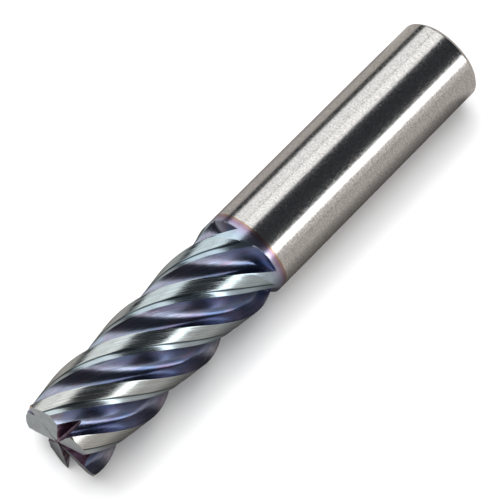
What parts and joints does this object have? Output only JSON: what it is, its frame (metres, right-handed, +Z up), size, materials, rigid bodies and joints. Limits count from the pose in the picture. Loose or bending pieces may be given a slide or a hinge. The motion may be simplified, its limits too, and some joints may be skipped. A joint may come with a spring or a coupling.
{
  "type": "end mill",
  "caption": "Round shank cutting tool with right-hand helical flutes and end teeth, lying on its side.",
  "frame": {"origin": "on the rest plane under the middle of the tool's length, with the tool lying on its side", "axes": "+X along the tool axis from the cutting end to the shank end, +Z up"},
  "size_m": [0.0762, 0.0126, 0.0127],
  "materials": {
    "bare_carbide": "centreless-ground bare tungsten carbide, satin",
    "coated_carbide": "ground tungsten carbide under a thin hard coating, grey to violet"
  },
  "bodies": {
    "root": {"shank": "bare_carbide", "flute_runout": "coated_carbide", "web_core": "coated_carbide", "tooth_1": "coated_carbide", "tooth_2": "coated_carbide", "tooth_3": "coated_carbide", "tooth_4": "coated_carbide", "tooth_5": "coated_carbide"}
  },
  "joints": []
}
